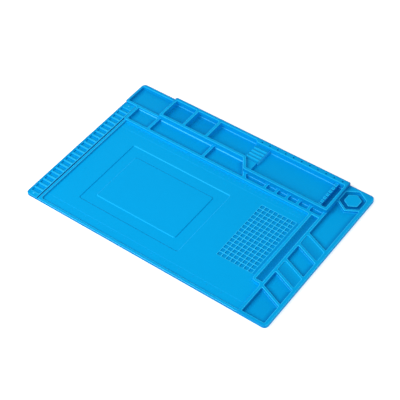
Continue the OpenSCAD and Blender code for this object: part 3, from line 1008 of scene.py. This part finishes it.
# Painted shade in the magnetic recesses and at the bottom of the pen channel
RECESS_SHADE = facing(front=0.45, left=0.35, plain=0.12)
CHANNEL_FLOOR = 2.2
CHANNEL_STEPS = 12
CHANNEL_SHADE = 0.75
STEP_R = 2.6
SUNK_SHARE = 0.8


def trough(moulding, left, front, right, back, top):
    """A channel with a round floor and upright ends, below its rounded rim; returns the rim's border."""
    rows = moulding.skin(box_ring(left, front, right, back, 0), lip(top, LIP_R, 1), pocket=True)
    front_left, front_right, back_right, back_left = rows[-1]
    depth = top - LIP_R - CHANNEL_FLOOR
    middle = (left + right) / 2
    fronts, backs = [front_left], [back_left]
    for k in range(1, CHANNEL_STEPS):
        turn = pi * k / CHANNEL_STEPS
        x = middle - (right - left) / 2 * cos(turn)
        height = top - LIP_R - depth * sin(turn)
        for line, y in ((fronts, front), (backs, back)):
            # Painted shade, deepest at the channel's bottom
            line.append(moulding.point((x, y, height), 0.0, 0.0, CHANNEL_SHADE * sin(turn)))
    fronts.append(front_right)
    backs.append(back_right)
    for a, b, c, d in zip(fronts, fronts[1:], backs[1:], backs):
        moulding.mesh.faces.new((a, b, c, d))
    moulding.mesh.faces.new(fronts[::-1])
    moulding.mesh.faces.new(backs)
    return rows[0]


def wall_pockets(bins):
    """The holes that bins make in their walls."""
    return [Pocket(ring(bin_.corners), bin_.wall, None, LIP_R, bin_.edge) for bin_ in bins]


def low_walls():
    """The low walls: corner bin, long bins, small bins, pen channel, right column and nut well.

    Where they meet the tall tray they end inside its walls."""
    sunk = WALL * SUNK_SHARE
    sunk_across = diagonal_across * SUNK_SHARE
    tray_line, row_line = tall.front + sunk, row_front + sunk
    outline = ring([
        (column.left, sheet.front, 0), (sheet.right, sheet.front, MAT_R), (sheet.right, sheet.back, MAT_R),
        (tall.right - sunk, sheet.back, 0), (tall.right - sunk, tray_line, 0),
        (diagonal_left(tray_line) + sunk_across, tray_line, 0),
        (diagonal_left(row_line) + sunk_across, row_line, 0),
        (tall.left + sunk, row_line, 0), (tall.left + sunk, sheet.back, 0),
        (sheet.left, sheet.back, MAT_R), (sheet.left, row_front, STEP_R), (rim.left, row_front, STEP_R),
        (rim.left, long_bins.front, STEP_R), (channel.left, long_bins.front, WORK_R),
        (channel.left, channel.front, MAT_R), (column.left, channel.front, WORK_R)])
    pockets = wall_pockets(LOW_BINS)
    shallow = cove(column.top - MAGNETIC_DEPTH, MAGNETIC_COVE, 1)
    for block in magnetic_bins:
        recess = ring(slanted_corners(block.back - WALL, block.front + slant_fall + WALL, MAGNETIC_R))
        pockets.append(Pocket(recess, RECESS_SHADE, shallow, MAGNETIC_LIP, CLEAR_HIGHLIGHT))
    made = Moulding()
    rim_border = trough(made, channel.left + WALL, channel.front + WALL, column.left, long_bins.front,
                        column.top)
    # Painted shade on the sides and painted highlight on the upper edges
    made.block(outline, column.top, FLOOR, LIP_R, pockets, border_tone, [rim_border], border_edge,
               edge=LAND_SHADE)
    made.piece("low_bins", "corner_bin_walls", "long_bin_walls", "small_bin_walls",
               "pen_channel", "column_walls", "magnetic_bin_1", "magnetic_bin_2", "corner_divider",
               "nut_well")


BIT_FIRST = 11.0
BIT_PITCH = 15.0
BIT_N = 11
BIT_R = 1.5
BIT_LIP = 0.3
BIT_INSET = 5.5
BIT_DEPTH = 8.0


def tall_tray():
    """The tall walls with the bit rail along the back."""
    outline = ring([
        (tall.left, row_front, STEP_R), (diagonal_left(row_front), row_front, BIN_R),
        (diagonal_left(tall.front), tall.front, BIN_R), (tall.right, tall.front, STEP_R),
        (tall.right, sheet.back, BIN_R), (tall.left, sheet.back, BIN_R)])
    made = Moulding()
    pockets = wall_pockets(TALL_BINS)
    end = cove(tall.top - BIT_DEPTH, BIT_R / 2, 1, steps=2)
    for i in range(BIT_N):
        hole = circle(rail.left + BIT_FIRST + i * BIT_PITCH, sheet.back - BIT_INSET, BIT_R)
        # Painted shade in the bit holes
        pockets.append(Pocket(hole, NARROW_SHADE, end, BIT_LIP, 0.0))
    # Painted shade on the sides and painted highlight on the upper edges
    made.block(outline, tall.top, FLOOR, TALL_LIP_R, pockets, border_tone, pale=border_edge, edge=LAND_SHADE)
    made.piece("tall_tray", "tall_tray_walls", "bit_rail")


RIM_GLOSS = 1.0
WEB_D = 2.0
WEB_DROP = 1.2
WEB_LIP = 0.4


def work_area_rim():
    """The rim round the work area, and the web that joins it to the screw strip at the front."""
    outline = ring([
        (rim.left, sheet.front, RIM_R), (column.left, sheet.front, 0), (column.left, work_front, 0),
        (work_x, work_front, WORK_R), (work_x, long_bins.front, 0), (rim.left, long_bins.front, 0)])
    made = Moulding()
    # Painted shade on the rim's sides and a painted highlight on its upper edge, which also has gloss
    made.block(outline, rim.top, FLOOR, LIP_R, hollow=NARROW_SHADE, pale=CLEAR_HIGHLIGHT, gloss=RIM_GLOSS)
    web = box_ring(strip.right - TUCK, sheet.front + SKIM, rim.left + RIM_R, sheet.front + WEB_D, 0)
    # The web has the front's painted shade and painted highlight.
    made.block(web, strip.top - WEB_DROP, GROOVE_FLOOR, WEB_LIP, hollow=FRONT_BORDER_SHADE, pale=FRONT_BORDER_HIGHLIGHT)
    made.piece("work_rim_band", "work_rim")


STRIP_TOP = 4.0
CELL_PITCH = 10.0
CELL_L = 6.5
CELL_N = 23
CELL_DEPTH = 2.2
CELL_FIRST = 9.75
CELL_SIDE = 4.0
CELL_END = 2.0
CELL_LAND = 0.75
CELL_EDGE_R = 0.6
# Painted shade in the screw cells and on the strip's left land, painted highlight on the land between the
# cells
CELL_SHADE = 0.5
CELL_HIGHLIGHT = 0.7
LEFT_LAND_SHADE = 0.3
CELL_R = 0.9
STRIP_LIP_R = 0.8
STRIP_R = 1.6
BUMP_R = 1.8
BUMP_INSET = 6.0
BUMP_COVE = 0.1


def pale_from(inset, share):
    """A rule for a painted highlight on edges, but not along the mat's own left edge."""
    return lambda point, outward: 0.0 if point.x < sheet.left + inset else share


def screw_cells():
    """The strip along the left edge with its row of screw cells."""
    made = Moulding()
    first = sheet.front + CELL_FIRST
    gap = (CELL_PITCH - CELL_L) / 2
    left = sheet.left + CELL_SIDE - CELL_LAND
    right = strip.right - CELL_END + CELL_LAND
    front = first - gap
    back = front + CELL_N * CELL_PITCH
    base = STRIP_TOP - CELL_DEPTH - CELL_LAND
    pocket = box_ring(left + CELL_LAND, first, right - CELL_LAND, first + CELL_L, CELL_R)
    cell = pocket_cell(left, front, right, front + CELL_PITCH, pocket, STRIP_TOP, STRIP_TOP - CELL_DEPTH,
                       CELL_EDGE_R, CELL_SHADE, pale_from(CELL_SIDE + CELL_LAND, CELL_HIGHLIGHT))
    made.add_mesh(cell_array(cell, 1, CELL_N, (0, CELL_PITCH)))
    made.close_below(base)
    outline = ring([
        (sheet.left, sheet.front, MAT_R), (strip.right, sheet.front, STRIP_R),
        (strip.right, row_front, 0), (sheet.left, row_front, 0)])
    sides = made.skin(outline, lip(STRIP_TOP, STRIP_LIP_R, -1) + SHEET_FOOT, False, BORDER_SHADE,
                      pale_from(BORDER_W, CLEAR_HIGHLIGHT))
    window = made.skin(box_ring(left, front, right, back, 0),
                       [Level(0, STRIP_TOP), Level(0, base)], pocket=True)
    made.flat(window[-1])
    made.flat(sides[-1], up=False)
    middle = (left + right) / 2
    bumps = []
    dome = lip(strip.top, BUMP_R / 2, -1, band=0, gloss=1.0) + cove(STRIP_TOP, BUMP_COVE, -1, steps=2)
    for y in (sheet.front + BUMP_INSET, row_front - BUMP_INSET):
        rows = made.skin(circle(middle, y, BUMP_R), dome)
        made.flat(rows[0])
        bumps.append(rows[-1])
    made.flat(sides[0], [window[0]] + bumps)
    # Painted shade on the land along the strip's left edge
    land = [point for point in sides[0] + window[0] if point.co.x < sheet.left + CELL_SIDE]
    made.paint("hollow", LEFT_LAND_SHADE, land)
    made.piece("screw_cells", "screw_strip")


GRID_COLUMNS = 8
GRID_ROWS = 15
GRID_RIB = 1.5
GRID_DEPTH = 1.2
GRID_EDGE_R = 0.35
GRID_R = 0.8
# Painted shade in the component pockets and painted highlight on their ribs
GRID_SHADE = 0.9
GRID_HIGHLIGHT = 1.0


def component_pockets():
    """The block of small square pockets in the work floor."""
    pitch = (grid.right - grid.left) / GRID_COLUMNS
    side = GRID_RIB / 2
    right, back = grid.left + pitch, grid.front + pitch
    pocket = box_ring(grid.left + side, grid.front + side, right - side, back - side, GRID_R)
    cell = pocket_cell(grid.left, grid.front, right, back, pocket, grid.top, grid.top - GRID_DEPTH,
                       GRID_EDGE_R, GRID_SHADE, GRID_HIGHLIGHT)
    made = Moulding()
    made.add_mesh(cell_array(cell, GRID_COLUMNS, GRID_ROWS, (pitch, pitch)))
    made.close_below(grid.bottom)
    made.piece("component_pockets", "component_grid")


GROOVE_PITCH = 7.0
GROOVE_DEPTH = 1.2
GROOVE_FIRST = 5.04
GROOVE_N = 5
REST_SLOPE = 1.2
REST_PLAIN_DROP = 1.5
REST_PLAIN_INSET = 2.5


def ridged_rest():
    """The wavy rest for tools, with a plain step in front of it."""
    front = row_front + WALL
    depth = rail.front - front
    middle = Vector(((rest.left + rest.right) / 2, front + depth / 2, FLOOR))
    first = rail.front - GROOVE_FIRST - middle.y
    mesh = from_tree(
        ridged_block_tree(), Width=rest.right - rest.left, Depth=depth, Height=rest.top - FLOOR,
        Pitch=GROOVE_PITCH, Groove_depth=GROOVE_DEPTH, First_groove=first,
        Last_groove=first - (GROOVE_N - 1) * GROOVE_PITCH, Side_slope=REST_SLOPE)
    made = Moulding()
    made.add_mesh(mesh, Matrix.Translation(middle))
    right = rest.right - REST_PLAIN_INSET
    step = ring([
        (diagonal_right(tray_in) - SKIM, tray_in - SKIM, 0), (right, tray_in - SKIM, 0), (right, front, 0),
        (diagonal_right(front) - SKIM, front, 0)])
    made.block(step, rest.top - REST_PLAIN_DROP, FLOOR, LIP_R)
    made.piece("ridged_rest", "tool_rest")


SLIT_PITCH = 8.0
SLIT_N = 6
SLIT_W = 1.6
SLIT_DEPTH = 4.0
SLIT_FIRST = 6.9
TOOTH_R = 1.2
TOOTH_LIP = 0.7
COMB_LIP = 0.1


def blade_teeth():
    """The comb that holds blades on edge: its teeth, a longer one at each end, and their base."""
    base = comb.top - SLIT_DEPTH

    def tooth(moulding, front, back):
        outline = box_ring(comb.left, front, comb.right, back, TOOTH_R)
        # Painted shade on the sides and painted highlight on the upper edges
        moulding.block(outline, comb.top, base, TOOTH_LIP, hollow=DEEP_SHADE, pale=CLEAR_HIGHLIGHT)

    first = comb.front + SLIT_FIRST + SLIT_W / 2
    last = first + (SLIT_N - 1) * SLIT_PITCH
    cell = Moulding()
    tooth(cell, first, first + SLIT_PITCH - SLIT_W)
    made = Moulding()
    made.add_mesh(cell_array(cell, 1, SLIT_N - 1, (0, SLIT_PITCH)))
    tooth(made, comb.front - SKIM, first - SLIT_W)
    tooth(made, last, comb.back + SKIM)
    foot = box_ring(comb.left, comb.front, comb.right, comb.back, 0)
    made.block(foot, base, FLOOR, COMB_LIP, hollow=NARROW_SHADE)
    made.piece("blade_teeth", "blade_comb")


ISLAND_R = 2.0
ISLAND_LIP = 0.6
ISLAND_BAND = 1.0


def well_island():
    """The six-sided island in the nut well."""
    made = Moulding()
    across = island.right - island.left
    outline = ring(hexagon_corners(column_mid, well_y, across, ISLAND_R))
    # Painted shade on the island's sides and painted highlight on its upper edge
    made.block(outline, island.top, FLOOR, ISLAND_LIP, hollow=NARROW_SHADE, pale=CLEAR_HIGHLIGHT, band=ISLAND_BAND)
    made.piece("well_island", "nut_well_island")


MARK_H = 0.15
MARK_SINK = 0.05
MARK_SLOPE = 0.08
# Painted highlight on the raised scale
MARK_HIGHLIGHT = 0.35
TICK_W = 0.35
TICK_L = 4.0
NUMBER_SIZE = 3.6
LINE_W = 0.5
MIDDLE_TICK = 0.75
SHORT_TICK = 0.5
RULER_INSET = 2.3
INCH = 25.4
Scale = namedtuple("Scale", "base way end pitch long_every middle_every number_gap line_gap")
BACK_SCALE = Scale(long_bins.front - WORK_COVE_R, -1, end=150.0, pitch=1.0, long_every=10, middle_every=5,
                   number_gap=6.3, line_gap=12.3)
FRONT_SCALE = Scale(work_front + WORK_COVE_R, 1, end=column.left - WORK_COVE_R, pitch=INCH / 8, long_every=8,
                    middle_every=4, number_gap=9.8, line_gap=13.8)


def raised_line(moulding, left, front, right, back, base=FLOOR):
    """A fine raised line with sloping sides; its foot is in the floor."""
    rows = moulding.skin(box_ring(left, front, right, back, 0), [
        Level(-MARK_SLOPE, base + MARK_H), Level(0, base - MARK_SINK)])
    moulding.flat(rows[0])
    moulding.flat(rows[1], up=False)


def number_mesh(text):
    """A number as a raised shape round the origin."""
    curve = bpy.data.curves.new("number", "FONT")
    curve.body = text
    curve.size = NUMBER_SIZE
    curve.align_x = "CENTER"
    curve.align_y = "CENTER"
    curve.resolution_u = 2
    curve.extrude = (MARK_H + MARK_SINK) / 2
    mesh = plain_mesh(new_object("number", curve))
    bpy.data.curves.remove(curve)
    return mesh


def ruler_marks():
    """A fine raised scale along the back of the work area and one along its front."""
    made = Moulding()
    tree = tick_row_tree()
    zero = work_x + RULER_INSET
    for scale in (BACK_SCALE, FRONT_SCALE):
        tick = Moulding()
        raised_line(tick, -TICK_W / 2, min(0, scale.way * TICK_L), TICK_W / 2, max(0, scale.way * TICK_L))
        holder = bpy.data.objects.new("tick", tick.to_mesh("tick"))
        count = int((scale.end - zero) / scale.pitch) + 1
        ticks = from_tree(tree, Tick=holder, Count=count, Pitch=scale.pitch, Long_every=scale.long_every,
                          Middle_every=scale.middle_every, Middle_share=MIDDLE_TICK, Short_share=SHORT_TICK)
        bpy.data.objects.remove(holder)
        made.add_mesh(ticks, Matrix.Translation((zero, scale.base, 0)))
        line_y = scale.base + scale.way * scale.line_gap
        raised_line(made, zero, line_y, scale.end, line_y + LINE_W)
        number_y = scale.base + scale.way * scale.number_gap
        for i in range(1, (count - 1) // scale.long_every + 1):
            x = zero + i * scale.long_every * scale.pitch
            place = (x, number_y, FLOOR + (MARK_H - MARK_SINK) / 2)
            made.add_mesh(number_mesh(str(i)), Matrix.Translation(place))
    bmesh.ops.remove_doubles(made.mesh, verts=made.mesh.verts, dist=MERGE / 10)
    bmesh.ops.recalc_face_normals(made.mesh, faces=made.mesh.faces)
    # The raised scale gets a painted highlight all over.
    made.paint("pale", MARK_HIGHLIGHT, made.mesh.verts)
    made.piece("ruler_marks")


mat_sheet()
low_walls()
tall_tray()
work_area_rim()
screw_cells()
component_pockets()
ridged_rest()
blade_teeth()
well_island()
ruler_marks()

PLATING = magnet_plating()
for name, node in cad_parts.items():
    if name.startswith("magnet_"):
        node.data.materials.clear()
        node.data.materials.append(PLATING)


# Floor, light and camera, in metres
FLOOR_REACH = 4.0
SKY_LIGHT = 0.5
AZIMUTH = radians(37.42)
ELEVATION = radians(47.838)
ROLL = radians(-1.668)
TARGET = Vector((0.00431, -0.00448, 0))
DISTANCE = 1.8658
LENS = 108.87


def floor():
    """The floor that the mat lies on."""
    mesh = bpy.data.meshes.new("floor")
    corners = [(x * FLOOR_REACH, y * FLOOR_REACH, 0) for x, y in ((-1, -1), (1, -1), (1, 1), (-1, 1))]
    mesh.from_pydata(corners, [], [(0, 1, 2, 3)])
    mesh.materials.append(white_floor())
    new_object("floor", mesh)


def lamp(name, kind, towards, energy):
    """A lamp that shines from one direction."""
    light = bpy.data.lights.new(name, kind)
    light.energy = energy
    made = new_object(name, light)
    made.rotation_mode = "QUATERNION"
    made.rotation_quaternion = Vector(towards).to_track_quat("Z", "Y")
    return made


def far_lamp(name, towards, strength, spread):
    """A soft lamp far away in one direction, which lights the floor evenly."""
    lamp(name, "SUN", towards, strength).data.angle = radians(spread)


def softbox(name, towards, distance, strength, width):
    """A square soft lamp; strength is the light that it sends to the middle of the mat."""
    made = lamp(name, "AREA", towards, strength * pi * distance ** 2)
    made.location = Vector(towards).normalized() * distance
    made.data.size = width


def sky():
    """Even light all round."""
    world = bpy.data.worlds.new("sky")
    world.use_nodes = True
    nodes = Nodes(world.node_tree)
    background = nodes.add("ShaderNodeBackground", {"Color": (1, 1, 1, 1), "Strength": SKY_LIGHT})
    nodes.add("ShaderNodeOutputWorld", {"Surface": background})
    bpy.context.scene.world = world


def camera():
    """The camera stands at the photograph's viewing angle."""
    back = Vector((sin(AZIMUTH) * cos(ELEVATION), -cos(AZIMUTH) * cos(ELEVATION), sin(ELEVATION)))
    right = Vector((cos(AZIMUTH), sin(AZIMUTH), 0))
    up = back.cross(right)
    across = right * cos(ROLL) + up * sin(ROLL)
    upright = up * cos(ROLL) - right * sin(ROLL)
    data = bpy.data.cameras.new("camera")
    data.lens = LENS
    made = new_object("camera", data)
    turn = Matrix((across, upright, back)).transposed()
    made.matrix_world = Matrix.Translation(TARGET + back * DISTANCE) @ turn.to_4x4()
    bpy.context.scene.camera = made


floor()
sky()
softbox("key", towards=(-0.42, -0.62, 0.66), distance=2.1, strength=2.05, width=1.3)
far_lamp("fill", towards=(0.55, -0.6, 0.58), strength=0.62, spread=60)
camera()
bpy.context.scene.view_settings.view_transform = "Standard"
